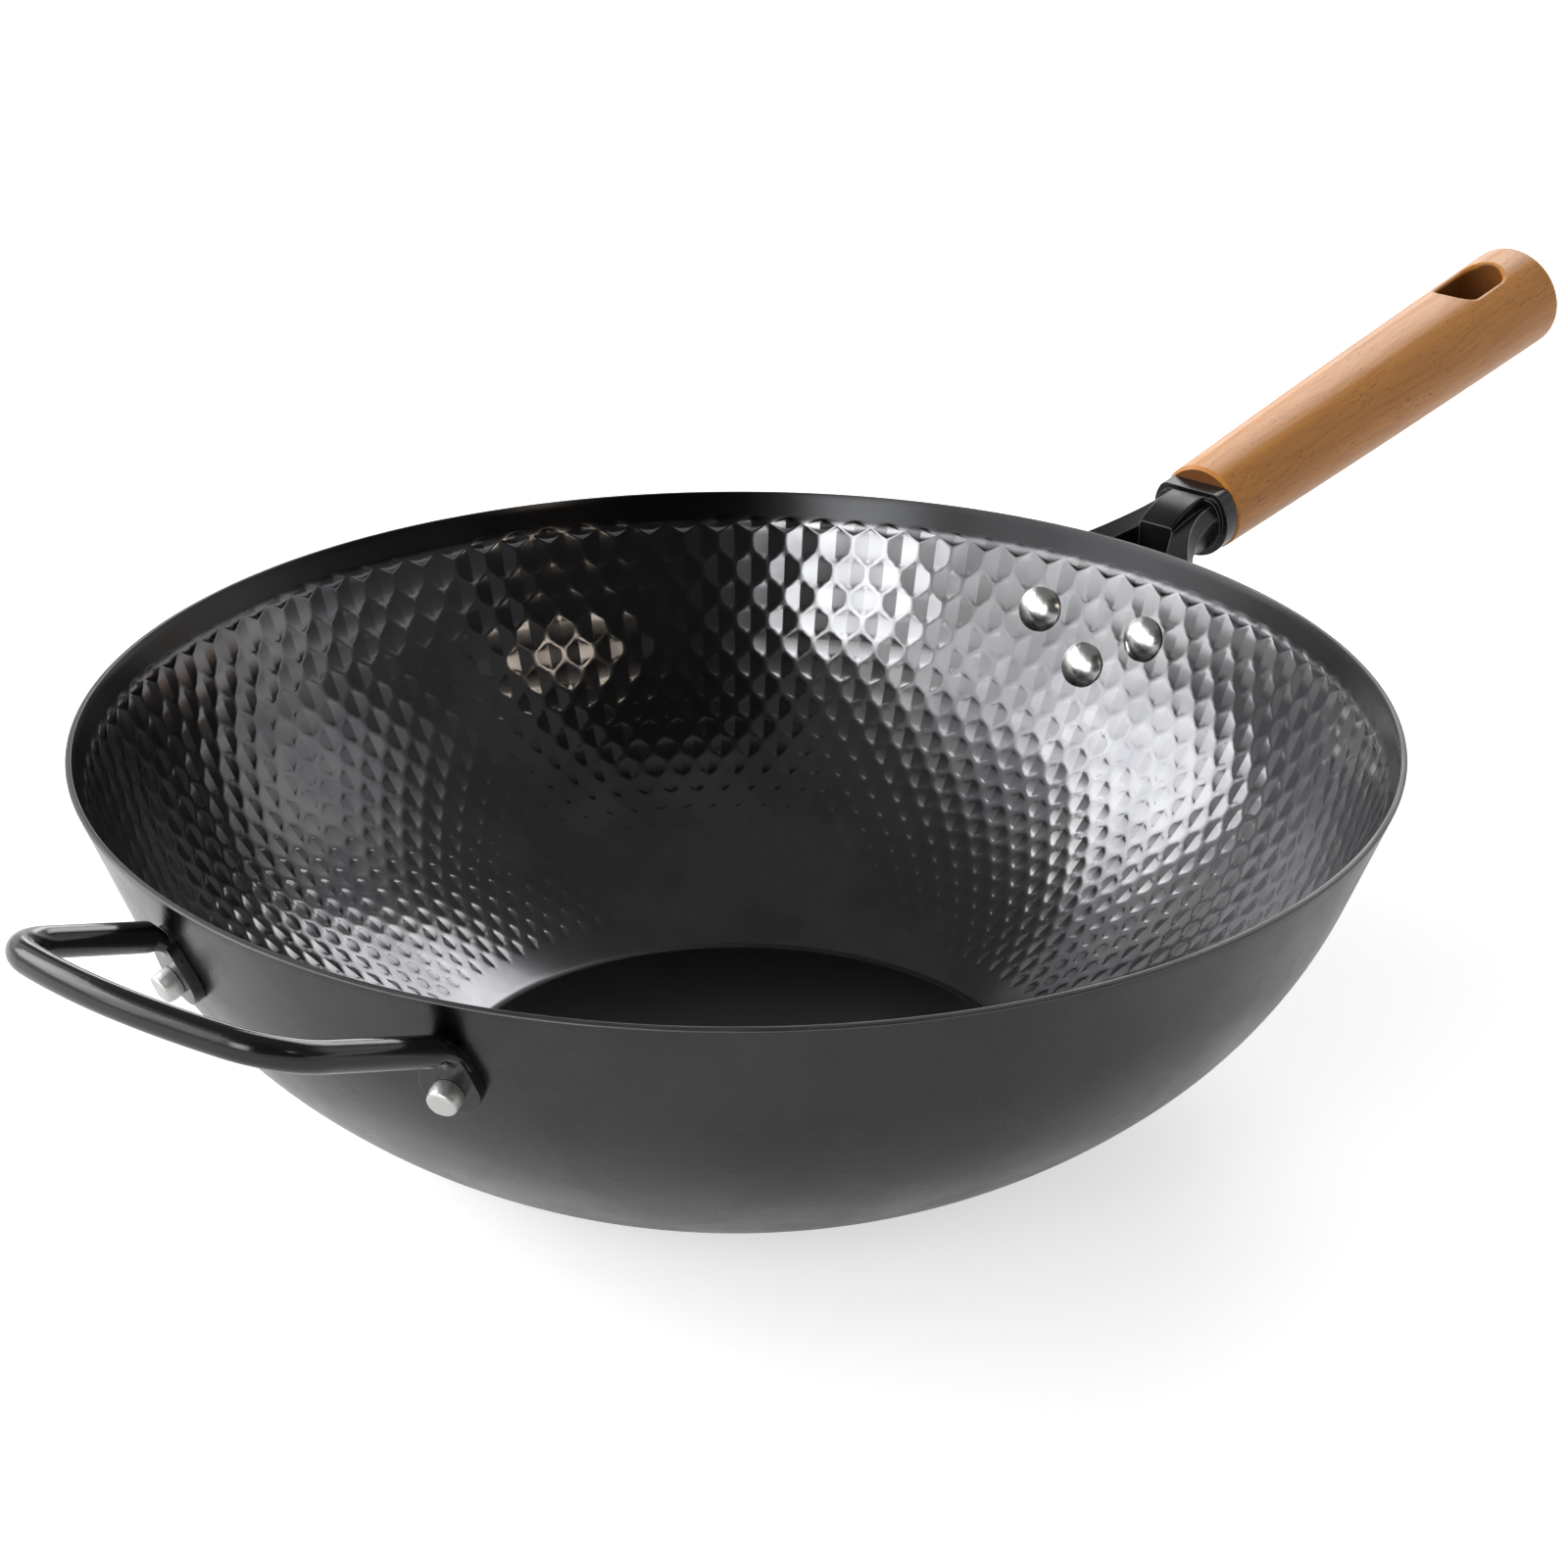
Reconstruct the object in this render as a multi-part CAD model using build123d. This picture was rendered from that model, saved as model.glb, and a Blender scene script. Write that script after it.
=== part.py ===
from build123d import *
import os
from math import asin, atan2, cos, degrees, radians, sin, sqrt

# Lengths are millimetres, angles are degrees. The origin is the middle of the flat base,
# the bowl's axis is +Z, the wooden handle points along +X and the helper handle along -X.

# Bowl: the outer face runs from the flat base through three tangent arcs to a straight lip,
# and each angle is the wall's slope where the next stretch begins.
sheet_thickness = 1.6
base_radius = 73.0
knuckle_radius = 8.0
foot_angle = 22.5
lower_radius = 165.0
haunch_angle = 44.5
shoulder_radius = 114.0
lip_angle = 68.0
lip_length = 28.0

# Clearances and the overrun of every cut.
seat_gap = 0.1
hole_clearance = 0.15
bottom_clearance = 0.3
cut_overrun = 20.0

# Rivets of the wooden handle's bracket: a triangle, two above and one below.
bracket_rivet_drop = 24.0
bracket_rivet_spacing = 35.0
lower_rivet_step = 12.0
steel_shank_radius = 2.6
steel_head_radius = 6.2
steel_head_edge = 0.5
steel_head_height = 3.1
steel_tail_radius = 4.4
steel_tail_height = 2.4
steel_tail_edge = 0.8

# Rivets of the helper handle: soft aluminium, with tall hammered tails outside.
helper_rivet_drop = 25.5
helper_rivet_spacing = 84.4
soft_shank_radius = 2.4
soft_head_radius = 5.6
soft_head_edge = 0.5
soft_head_height = 2.6
soft_tail_radius = 3.8
soft_tail_height = 4.6
soft_tail_edge = 1.1

# Wooden handle: where the middle of its front face stands from the rim, and how it rises.
grip_reach = 41.0
grip_drop = 3.0
grip_tilt = 6.7
grip_side_length = 170.0
grip_front_radius = 12.7
grip_middle_radius = 14.6
grip_tail_radius = 15.8
grip_front_bevel = 0.9
grip_tail_round = 3.5
grip_tail_dome_angle = 12.0

# Hang slot through the wood, measured back from the end of the straight side.
slot_tail_margin = 11.7
slot_length = 26.0
slot_width = 13.6
slot_lip_round = 0.9

# Ferrule: a disc with a flat top, a smaller step towards the bracket and a spigot in the wood.
ferrule_radius = 12.3
ferrule_flat_height = 8.3
ferrule_corner = 3.0
ferrule_length = 5.0
ferrule_step = 1.5
ferrule_step_inset = 1.6
spigot_radius = 7.5
spigot_length = 6.0

# Tie rod, washer and nut that draw the handle together.
rod_radius = 3.0
rod_socket_depth = 12.0
rod_end_past_nut = 1.5
washer_radius = 6.2
washer_thickness = 1.4
washer_recess = 1.0
nut_across_flats = 10.0
nut_thickness = 5.0

# Cast bracket: four cross-sections from the ferrule to the wall. Reaches are measured from the
# rim's edge and drops from the rim's plane. A ridge runs along the top on each side, the waist
# is the widest line below it, and the foot is the underside.
neck_reach = 35.6
neck_ridge_half = 7.9
neck_waist_half = 10.4
neck_foot_half = 5.5
neck_ridge_drop = -1.5
neck_foot_drop = 12.6
throat_reach = 18.6
throat_ridge_half = 11.4
throat_waist_half = 13.4
throat_foot_half = 9.0
throat_ridge_drop = 1.6
throat_foot_drop = 13.8
cheek_reach = 9.5
cheek_ridge_half = 17.0
cheek_waist_half = 18.4
cheek_foot_half = 15.0
cheek_ridge_drop = 4.8
cheek_foot_drop = 15.4
wing_reach = -12.0
wing_ridge_half = 33.0
wing_waist_half = 34.0
wing_foot_half = 31.0
wing_ridge_drop = 11.5
wing_foot_drop = 19.0
waist_below_ridge = 3.3

# Arched rib down the middle, the dip between it and the ridges, and the pocket in front of it.
rib_half = 5.4
rib_front_reach = 18.4
rib_front_drop = 1.2
rib_back_rise = 3.8
rib_crown = 1.5
rib_edge_round = 0.7
valley_dip = 1.0
pocket_cheek_half = 9.8
pocket_wing_half = 25.0
pocket_drop = 12.4

# Web under the neck, and the plate that the three rivets hold.
web_half = 4.0
web_reach = 30.0
web_drop = 36.0
web_sag = 4.2
plate_thickness = 3.2
plate_margin = 9.0

# Helper handle: a round bar bent to a U, with pressed flat ends bent down on the wall. The
# far point is the middle of the cross run.
bar_radius = 3.75
bar_reach = 44.6
bar_rise = 6.1
bar_tilt = 19.6
bar_bow = 15.6
bar_corner_radius = 17.7
bar_corner_half = 43.2
bar_leg_lean = 2.2
bar_leg_length = 33.0
tab_thickness = 3.0
tab_radius = 7.4
tab_neck_radius = 5.6
tab_neck_drop = 17.5
bend_drop = 14.2
bend_thickness = 4.4
bend_width = 9.4
press_drop = 18.8
press_width = 12.6


def sin_of(angle):
    return sin(radians(angle))


def cos_of(angle):
    return cos(radians(angle))


def heading(edge):
    """Direction of an edge at its end, in degrees from the outline's first axis."""
    end = edge % 1
    return degrees(atan2(end.Y, end.X))


def filled(*outline):
    """Face inside a closed chain of lines and arcs."""
    return make_face([edge for piece in outline for edge in piece.edges()])


# The rim's outer edge follows from the stretches below it.
rim_radius = (
    base_radius
    + knuckle_radius * sin_of(foot_angle)
    + lower_radius * (sin_of(haunch_angle) - sin_of(foot_angle))
    + shoulder_radius * (sin_of(lip_angle) - sin_of(haunch_angle))
    + lip_length * cos_of(lip_angle)
)
rim_height = (
    knuckle_radius * (1 - cos_of(foot_angle))
    + lower_radius * (cos_of(foot_angle) - cos_of(haunch_angle))
    + shoulder_radius * (cos_of(haunch_angle) - cos_of(lip_angle))
    + lip_length * sin_of(lip_angle)
)


def wall_outline(outset, lip_extension):
    """Lines and arcs from the axis to the rim, a given way outside the bowl's outer face."""
    base = Line((0, -outset), (base_radius, -outset))
    knuckle = JernArc(base @ 1, base % 1, knuckle_radius + outset, foot_angle)
    lower = JernArc(knuckle @ 1, knuckle % 1, lower_radius + outset, haunch_angle - foot_angle)
    shoulder = JernArc(lower @ 1, lower % 1, shoulder_radius + outset, lip_angle - haunch_angle)
    lip = Line(shoulder @ 1, shoulder @ 1 + (shoulder % 1) * (lip_length + lip_extension))
    return [base, knuckle, lower, shoulder, lip]


def revolved_skin(inner_outset, outer_outset):
    """Skin round the axis between two outlines of the wall."""
    outer = wall_outline(outer_outset, 0)
    inner = wall_outline(inner_outset, 0)
    axis_side = Line(inner[0] @ 0, outer[0] @ 0)
    rim_side = Line(outer[-1] @ 1, inner[-1] @ 1)
    return revolve(Plane.XZ * filled(*outer, *inner, axis_side, rim_side), Axis.Z)


def space_inside(outset):
    """Everything inside an outline of the wall, with its lip carried on upwards."""
    chain = wall_outline(outset, cut_overrun)
    top = Line(chain[-1] @ 1, (0, (chain[-1] @ 1).Y))
    axis_side = Line(top @ 1, chain[0] @ 0)
    return revolve(Plane.XZ * filled(*chain, top, axis_side), Axis.Z)


def wall_at(drop):
    """Radius, height and slope of the outer face, a given way down the wall from the rim."""
    on_lip = min(drop, lip_length)
    slope = lip_angle - degrees((drop - on_lip) / shoulder_radius)
    run = on_lip * cos_of(lip_angle) + shoulder_radius * (sin_of(lip_angle) - sin_of(slope))
    fall = on_lip * sin_of(lip_angle) + shoulder_radius * (cos_of(slope) - cos_of(lip_angle))
    return rim_radius - run, rim_height - fall, slope


def wall_plane(azimuth, drop):
    """Plane on the outer face: x along the rim, y up the wall, z straight out of the wall."""
    radius, height, slope = wall_at(drop)
    outward = Vector(cos_of(azimuth), sin_of(azimuth), 0)
    along = Vector(-sin_of(azimuth), cos_of(azimuth), 0)
    normal = outward * sin_of(slope) - Vector(0, 0, 1) * cos_of(slope)
    return Plane(outward * radius + Vector(0, 0, height), along, normal)


def side_azimuth(spacing, drop):
    """Angle from the handle's line to one of two places that stand a given way apart."""
    return degrees(asin(spacing / 2 / wall_at(drop)[0]))


bracket_azimuth = side_azimuth(bracket_rivet_spacing, bracket_rivet_drop)
helper_azimuth = side_azimuth(helper_rivet_spacing, helper_rivet_drop)
steel_rivet_places = {
    "bracket_rivet_left": (bracket_azimuth, bracket_rivet_drop),
    "bracket_rivet_right": (-bracket_azimuth, bracket_rivet_drop),
    "bracket_rivet_lower": (0, bracket_rivet_drop + lower_rivet_step),
}
soft_rivet_places = {
    "helper_rivet_left": (180 - helper_azimuth, helper_rivet_drop),
    "helper_rivet_right": (180 + helper_azimuth, helper_rivet_drop),
}

# Frame of the wooden handle: x sideways, y up, z along the handle away from the bowl.
grip_plane = Plane(
    Vector(rim_radius + grip_reach, 0, rim_height - grip_drop),
    Vector(0, 1, 0),
    Vector(cos_of(grip_tilt), 0, sin_of(grip_tilt)),
)
bracket_end = -(ferrule_length + ferrule_step)
slot_end = grip_side_length - slot_tail_margin
slot_start = slot_end - slot_length
washer_seat = slot_start - washer_recess
rod_end = washer_seat + washer_thickness + nut_thickness + rod_end_past_nut


def round_bar(radius, start, end):
    """Round solid along z between two heights."""
    return extrude(Plane.XY.offset(start) * Circle(radius), end - start)


def shank_hole(azimuth, drop, shank_radius):
    """Cutter for a rivet's hole through the wall and what lies on it."""
    hole = round_bar(shank_radius + hole_clearance, -cut_overrun, cut_overrun)
    return wall_plane(azimuth, drop) * hole


def make_bowl():
    bowl = revolved_skin(-sheet_thickness, 0)
    for azimuth, drop in steel_rivet_places.values():
        bowl -= shank_hole(azimuth, drop, steel_shank_radius)
    for azimuth, drop in soft_rivet_places.values():
        bowl -= shank_hole(azimuth, drop, soft_shank_radius)
    return bowl


def make_rivet(azimuth, drop, shank, head, tail, grip):
    """Domed head inside the bowl, shank, and the flat hammered tail over what it grips."""
    head_radius, head_edge, head_height = head
    tail_radius, tail_height, tail_edge = tail
    edge_stand_off = head_radius * head_radius / (2 * wall_at(drop)[0])
    under_head = -(sheet_thickness + edge_stand_off + seat_gap)
    head_side = under_head - head_edge
    head_top = under_head - head_height
    dome_depth = head_height - head_edge
    dome_radius = (head_radius * head_radius + dome_depth * dome_depth) / (2 * dome_depth)
    tail_foot = grip + seat_gap
    tail_top = tail_foot + tail_height
    sides = Polyline(
        (0, tail_top),
        (tail_radius - tail_edge, tail_top),
        (tail_radius, tail_top - tail_edge),
        (tail_radius, tail_foot),
        (shank, tail_foot),
        (shank, under_head),
        (head_radius, under_head),
        (head_radius, head_side),
    )
    half_way = head_radius / 2
    dome_rise = dome_radius - sqrt(dome_radius * dome_radius - half_way * half_way)
    dome = ThreePointArc(sides @ 1, (half_way, head_top + dome_rise), (0, head_top))
    profile = filled(sides, dome, Line(dome @ 1, sides @ 0))
    return wall_plane(azimuth, drop) * revolve(Plane.XZ * profile, Axis.Z)


def make_steel_rivet(azimuth, drop):
    head = (steel_head_radius, steel_head_edge, steel_head_height)
    tail = (steel_tail_radius, steel_tail_height, steel_tail_edge)
    return make_rivet(azimuth, drop, steel_shank_radius, head, tail, seat_gap + plate_thickness)


def make_soft_rivet(azimuth, drop):
    head = (soft_head_radius, soft_head_edge, soft_head_height)
    tail = (soft_tail_radius, soft_tail_height, soft_tail_edge)
    return make_rivet(azimuth, drop, soft_shank_radius, head, tail, seat_gap + tab_thickness)


def side_view(reach, drop):
    """Point of an upright outline along the handle's line."""
    return Vector(rim_radius + reach, rim_height - drop)


def slab(outline, half):
    """Solid of an upright outline, carried a given way to both sides of the handle's line."""
    return extrude(Plane.XZ * outline, half, both=True)


def across(reach, *side_points):
    """Cross-section from (half width, drop) points of one side, closed by their mirror image."""
    plane = Plane(Vector(rim_radius + reach, 0, rim_height), Vector(0, 1, 0), Vector(1, 0, 0))
    right = [(half, -drop) for half, drop in side_points]
    left = [(-half, -drop) for half, drop in reversed(side_points)]
    return plane * make_face(Polyline(*right, *left, close=True))


def bracket_section(reach, ridge_half, waist_half, foot_half, ridge_drop, foot_drop):
    valley = (rib_half, ridge_drop + valley_dip)
    ridge = (ridge_half, ridge_drop)
    waist = (waist_half, ridge_drop + waist_below_ridge)
    return across(reach, valley, ridge, waist, (foot_half, foot_drop))


def make_casting():
    """Neck that flares from the ferrule to a wide wing on the wall, dished between its ridges."""
    return loft([
        bracket_section(neck_reach, neck_ridge_half, neck_waist_half, neck_foot_half,
                        neck_ridge_drop, neck_foot_drop),
        bracket_section(throat_reach, throat_ridge_half, throat_waist_half, throat_foot_half,
                        throat_ridge_drop, throat_foot_drop),
        bracket_section(cheek_reach, cheek_ridge_half, cheek_waist_half, cheek_foot_half,
                        cheek_ridge_drop, cheek_foot_drop),
        bracket_section(wing_reach, wing_ridge_half, wing_waist_half, wing_foot_half,
                        wing_ridge_drop, wing_foot_drop),
    ])


def make_pocket():
    """Hollow between the rib's front face, both cheeks and the wall."""
    rear = rim_radius + rib_front_reach
    front = rim_radius + wing_reach
    cheek = (rim_radius + cheek_reach, pocket_cheek_half)
    side = ThreePointArc((rear, rib_half), cheek, (front, pocket_wing_half))
    other_side = ThreePointArc(
        (rear, -rib_half), (cheek[0], -pocket_cheek_half), (front, -pocket_wing_half)
    )
    plan = filled(side, Line(side @ 1, other_side @ 1), other_side, Line(other_side @ 0, side @ 0))
    return extrude(Plane.XY.offset(rim_height - pocket_drop) * plan, cut_overrun)


def make_rib():
    """Arched rib down the middle of the hollow, ending in an upright face short of the wall."""
    front_top = side_view(rib_front_reach, rib_front_drop)
    back_top = side_view(neck_reach, -rib_back_rise)
    front_foot = side_view(rib_front_reach, neck_foot_drop)
    back_foot = side_view(neck_reach, neck_foot_drop)
    crown = ThreePointArc(front_top, (front_top + back_top) / 2 + Vector(0, rib_crown), back_top)
    rib = slab(filled(crown, Polyline(back_top, back_foot, front_foot, front_top)), rib_half)
    top = rib.faces().sort_by(Axis.Z)[-1]
    rounded = [edge for edge in top.edges() if edge.center().X < back_top.X - rib_edge_round]
    return fillet(rounded, rib_edge_round)


def make_web():
    """Upright web that carries the neck's underside down to the bottom of the plate."""
    outer = side_view(web_reach, neck_foot_drop)
    inner = Vector(wall_at(web_drop)[0] - plate_thickness, rim_height - web_drop)
    corner = Vector(inner.X, outer.Y)
    sag = (outer + inner) / 2 + Vector(-web_sag, web_sag)
    return slab(filled(ThreePointArc(outer, sag, inner), Polyline(inner, corner, outer)), web_half)


def make_plate():
    """Plate that follows the wall, a rounded triangle round the three rivets."""
    centres = [(-bracket_rivet_spacing / 2, 0), (bracket_rivet_spacing / 2, 0), (0, -lower_rivet_step)]
    discs = [Pos(*centre) * Circle(plate_margin) for centre in centres]
    outline = make_hull([edge for disc in discs for edge in disc.edges()])
    column = extrude(wall_plane(0, bracket_rivet_drop) * outline, cut_overrun, both=True)
    return revolved_skin(seat_gap, seat_gap + plate_thickness) & column


def make_bracket():
    bracket = make_casting() + make_rib() - make_pocket() + make_web()
    bracket -= space_inside(seat_gap)
    bracket += make_plate()
    for azimuth, drop in steel_rivet_places.values():
        bracket -= shank_hole(azimuth, drop, steel_shank_radius)
        tail_seat = seat_gap + plate_thickness
        room = round_bar(steel_tail_radius + bottom_clearance, tail_seat, tail_seat + cut_overrun)
        bracket -= wall_plane(azimuth, drop) * room
    past_end = extrude(Plane.XY.offset(bracket_end) * Circle(grip_reach), grip_reach)
    bracket -= grip_plane * past_end
    socket_floor = bracket_end - rod_socket_depth
    bracket -= grip_plane * round_bar(rod_radius + hole_clearance, socket_floor, 0)
    return bracket


def ferrule_face(inset):
    """Disc with its top cut flat and both corners rounded."""
    radius = ferrule_radius - inset
    flat = ferrule_flat_height - inset
    face = Circle(radius) - Pos(0, flat + radius) * Rectangle(2 * radius, 2 * radius)
    return fillet(face.vertices(), ferrule_corner)


def make_ferrule():
    body = extrude(Plane.XY.offset(-ferrule_length) * ferrule_face(0), ferrule_length)
    step = extrude(Plane.XY.offset(bracket_end) * ferrule_face(ferrule_step_inset), ferrule_step)
    spigot = round_bar(spigot_radius, 0, spigot_length)
    bore = round_bar(rod_radius + hole_clearance, bracket_end, spigot_length)
    return grip_plane * (body + step + spigot - bore)


def make_wood_handle():
    front = Polyline(
        (0, 0),
        (grip_front_radius - grip_front_bevel, 0),
        (grip_front_radius, grip_front_bevel),
    )
    middle = (grip_middle_radius, grip_side_length / 2)
    side = ThreePointArc(front @ 1, middle, (grip_tail_radius, grip_side_length))
    corner_turn = 180 - grip_tail_dome_angle - heading(side)
    corner = JernArc(side @ 1, side % 1, grip_tail_round, corner_turn)
    dome_radius = (corner @ 1).X / sin_of(grip_tail_dome_angle)
    dome = JernArc(corner @ 1, corner % 1, dome_radius, grip_tail_dome_angle)
    profile = filled(front, side, corner, dome, Line(dome @ 1, (0, 0)))
    wood = revolve(Plane.XZ * profile, Axis.Z)
    slot_middle = (slot_start + slot_end) / 2
    slot_face = Pos(0, slot_middle) * SlotOverall(slot_length, slot_width, rotation=90)
    wood -= extrude(Plane.XZ * slot_face, grip_tail_radius + cut_overrun, both=True)
    lips = [
        edge for edge in wood.edges()
        if slot_start < edge.center().Z < slot_end and abs(edge.center().Y) > slot_width / 2
    ]
    wood = fillet(lips, slot_lip_round)
    wood -= round_bar(washer_radius + hole_clearance, washer_seat, slot_middle)
    wood -= round_bar(spigot_radius + hole_clearance, 0, spigot_length + bottom_clearance)
    wood -= round_bar(rod_radius + hole_clearance, 0, slot_middle)
    return grip_plane * wood


def make_tie_rod():
    rod_start = bracket_end - rod_socket_depth + bottom_clearance
    return grip_plane * round_bar(rod_radius, rod_start, rod_end)


def make_tie_washer():
    washer = round_bar(washer_radius, washer_seat, washer_seat + washer_thickness)
    return grip_plane * (washer - round_bar(rod_radius + hole_clearance, 0, rod_end))


def make_tie_nut():
    nut_seat = washer_seat + washer_thickness
    hexagon = RegularPolygon(nut_across_flats / 2, 6, major_radius=False)
    nut = extrude(Plane.XY.offset(nut_seat) * hexagon, nut_thickness)
    return grip_plane * (nut - round_bar(rod_radius + hole_clearance, 0, rod_end))


# Frame of the helper handle: x along the cross run, y towards the bowl in the bar's own plane.
bar_plane = Plane(
    Vector(-(rim_radius + bar_reach), 0, rim_height + bar_rise),
    Vector(0, 1, 0),
    Vector(-sin_of(bar_tilt), 0, -cos_of(bar_tilt)),
)
bar_cross_radius = (
    bar_corner_half - bar_corner_radius * (cos_of(bar_leg_lean) - sin_of(bar_bow))
) / sin_of(bar_bow)


def make_bar():
    """Round bar along the cross run, both corners and both legs."""
    cross_end = (bar_cross_radius * sin_of(bar_bow), bar_cross_radius * (1 - cos_of(bar_bow)))
    cross_start = (-cross_end[0], cross_end[1])
    cross = ThreePointArc(cross_start, (0, 0), cross_end)
    corner = JernArc(cross @ 1, cross % 1, bar_corner_radius, 90 - bar_leg_lean - bar_bow)
    leg = Line(corner @ 1, corner @ 1 + (corner % 1) * bar_leg_length)
    other_side = [edge.mirror(Plane.YZ) for edge in (leg, corner)]
    path = bar_plane * Wire([*other_side, cross, corner, leg])
    section = Plane(path @ 0, z_dir=path % 0) * Circle(bar_radius)
    return sweep(section, path), bar_plane * leg


def make_pressed_end(leg, side):
    """Bar's end pressed flat and bent down on to the wall, with a rounded tab at the rivet."""
    azimuth = 180 - side * helper_azimuth
    direction = leg % 1
    bend_plane = wall_plane(azimuth, bend_drop)
    press_plane = wall_plane(azimuth, press_drop)
    down = -press_plane.y_dir
    across_wall = press_plane.x_dir
    start = Plane(leg @ 1, x_dir=across_wall, z_dir=direction)
    bend = Plane(
        bend_plane.from_local_coords(Vector(0, 0, seat_gap + bend_thickness / 2)),
        x_dir=across_wall,
        z_dir=direction + down,
    )
    press = Plane(
        press_plane.from_local_coords(Vector(0, 0, seat_gap + tab_thickness / 2)),
        x_dir=across_wall,
        z_dir=down,
    )
    return loft([
        start * Circle(bar_radius),
        bend * Ellipse(bend_width / 2, bend_thickness / 2),
        press * Ellipse(press_width / 2, tab_thickness / 2),
    ])


def make_tab_column(side):
    """Column through the wall with the outline of a tab, narrower where the bar enters it."""
    plane = wall_plane(180 - side * helper_azimuth, helper_rivet_drop)
    neck = Pos(0, helper_rivet_drop - tab_neck_drop) * Circle(tab_neck_radius)
    outline = make_hull([*Circle(tab_radius).edges(), *neck.edges()])
    return extrude(plane * outline, cut_overrun, both=True)


def make_helper_handle():
    bar, leg = make_bar()
    skin = revolved_skin(seat_gap, seat_gap + tab_thickness)
    handle = bar
    for side in (1, -1):
        end_leg = leg if side == 1 else leg.mirror(Plane.XZ)
        handle += make_pressed_end(end_leg, side)
        handle += skin & make_tab_column(side)
    handle -= space_inside(seat_gap)
    for azimuth, drop in soft_rivet_places.values():
        handle -= shank_hole(azimuth, drop, soft_shank_radius)
        tail_seat = seat_gap + tab_thickness
        room = round_bar(soft_tail_radius + bottom_clearance, tail_seat, tail_seat + soft_tail_height)
        handle -= wall_plane(azimuth, drop) * room
    return handle


nodes = {
    "bowl": make_bowl(),
    "handle_bracket": make_bracket(),
    "ferrule": make_ferrule(),
    "wood_handle": make_wood_handle(),
    "tie_rod": make_tie_rod(),
    "tie_washer": make_tie_washer(),
    "tie_nut": make_tie_nut(),
    "helper_handle": make_helper_handle(),
}
for name, (azimuth, drop) in steel_rivet_places.items():
    nodes[name] = make_steel_rivet(azimuth, drop)
for name, (azimuth, drop) in soft_rivet_places.items():
    nodes[name] = make_soft_rivet(azimuth, drop)

os.makedirs("parts", exist_ok=True)
for name, shape in nodes.items():
    export_step(shape, f"parts/{name}.step")
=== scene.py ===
from math import atan2, cos, pi, radians, sin, sqrt, tan

import bmesh
import bpy
import numpy as np
from mathutils import Matrix, Vector, noise


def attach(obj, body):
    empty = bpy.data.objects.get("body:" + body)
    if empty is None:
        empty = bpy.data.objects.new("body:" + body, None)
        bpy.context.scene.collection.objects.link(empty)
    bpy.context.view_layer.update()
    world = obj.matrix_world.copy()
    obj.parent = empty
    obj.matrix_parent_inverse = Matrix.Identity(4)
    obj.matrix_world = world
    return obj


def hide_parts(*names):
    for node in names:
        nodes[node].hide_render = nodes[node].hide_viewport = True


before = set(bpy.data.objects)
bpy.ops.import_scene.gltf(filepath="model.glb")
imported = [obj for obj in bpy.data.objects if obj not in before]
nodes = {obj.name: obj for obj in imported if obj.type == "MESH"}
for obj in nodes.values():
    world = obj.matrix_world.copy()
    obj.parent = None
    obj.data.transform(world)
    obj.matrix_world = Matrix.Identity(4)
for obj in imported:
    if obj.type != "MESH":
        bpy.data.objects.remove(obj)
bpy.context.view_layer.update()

# Bowl: one disc of carbon steel, pressed and spun to a flat base and a straight flared lip. The
# inside is stamped with rows of roof-shaped hexagons between two plain bands, the outside stays
# smooth, and five holes are punched for the rivets of both handles.
sheet = 0.0016
base_radius = 0.073
lip_slope = radians(68)
lip_length = 0.028
wall_arcs = (
    {"radius": 0.114, "upper_slope": lip_slope, "lower_slope": radians(44.5)},
    {"radius": 0.165, "upper_slope": radians(44.5), "lower_slope": radians(22.5)},
    {"radius": 0.008, "upper_slope": radians(22.5), "lower_slope": 0.0},
)
cells_around = 104
first_cell_azimuth = radians(-0.17)
steps_per_slant = 4
steps_per_side = 3
steps_around = cells_around * 2 * steps_per_slant
rim_corner = 0.0003
rim_corner_turns = (0.0, pi / 8, pi / 4, 3 * pi / 8, pi / 2)
rim_band = 0.0066
rim_band_steps = 3
top_tip = 0.0072
first_centre = 0.0143
first_pitch = 0.0077
last_pitch = 0.0049
pitch_shrink_share = 0.845
slant_share = 1 / 3
full_rows = 20
foot_band_gap = 0.0008
foot_band_rings = 5
knuckle_rings = 6
outer_wall_rings = 60
base_ring_steps = (0.001, 0.02, 0.05)
weld_distance = 0.000002

# Shares of a cell's width, at the first row and at the last: how high its roof stands, and how
# wide a land lies around it. Then the crest's width and the insets of the rings on the roof.
top_rise_share = 0.0295
foot_rise_share = 0.018
top_land_share = 0.035
foot_land_share = 0.17
crest_share = 0.012
roof_ring_shares = (0.0, 0.02, 0.06)

# How much the upper and the lower half of a cell's outline are rounded at the first row and at
# the last, and how much its crest drops towards both ends, also in the short row at the rim.
top_crowns = (0.03, 0.35)
foot_crowns = (1.0, 1.0)
crest_drops = (0.5, 0.45)
start_crest_drops = (0.3, 0.9)

# Near the rim a roof's two flanks are flat and run out into the neighbours, over seams that are
# lifted by a share of the roof's height. Further down it is hipped at both ends.
hipped_at_rim = 0.1
hipped_all_at_depth = 0.6
seam_lift_share = 0.28

rim_radius = base_radius + lip_length * cos(lip_slope)
rim_height = lip_length * sin(lip_slope)
for arc in wall_arcs:
    rim_radius += arc["radius"] * (sin(arc["upper_slope"]) - sin(arc["lower_slope"]))
    rim_height += arc["radius"] * (cos(arc["lower_slope"]) - cos(arc["upper_slope"]))


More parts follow.
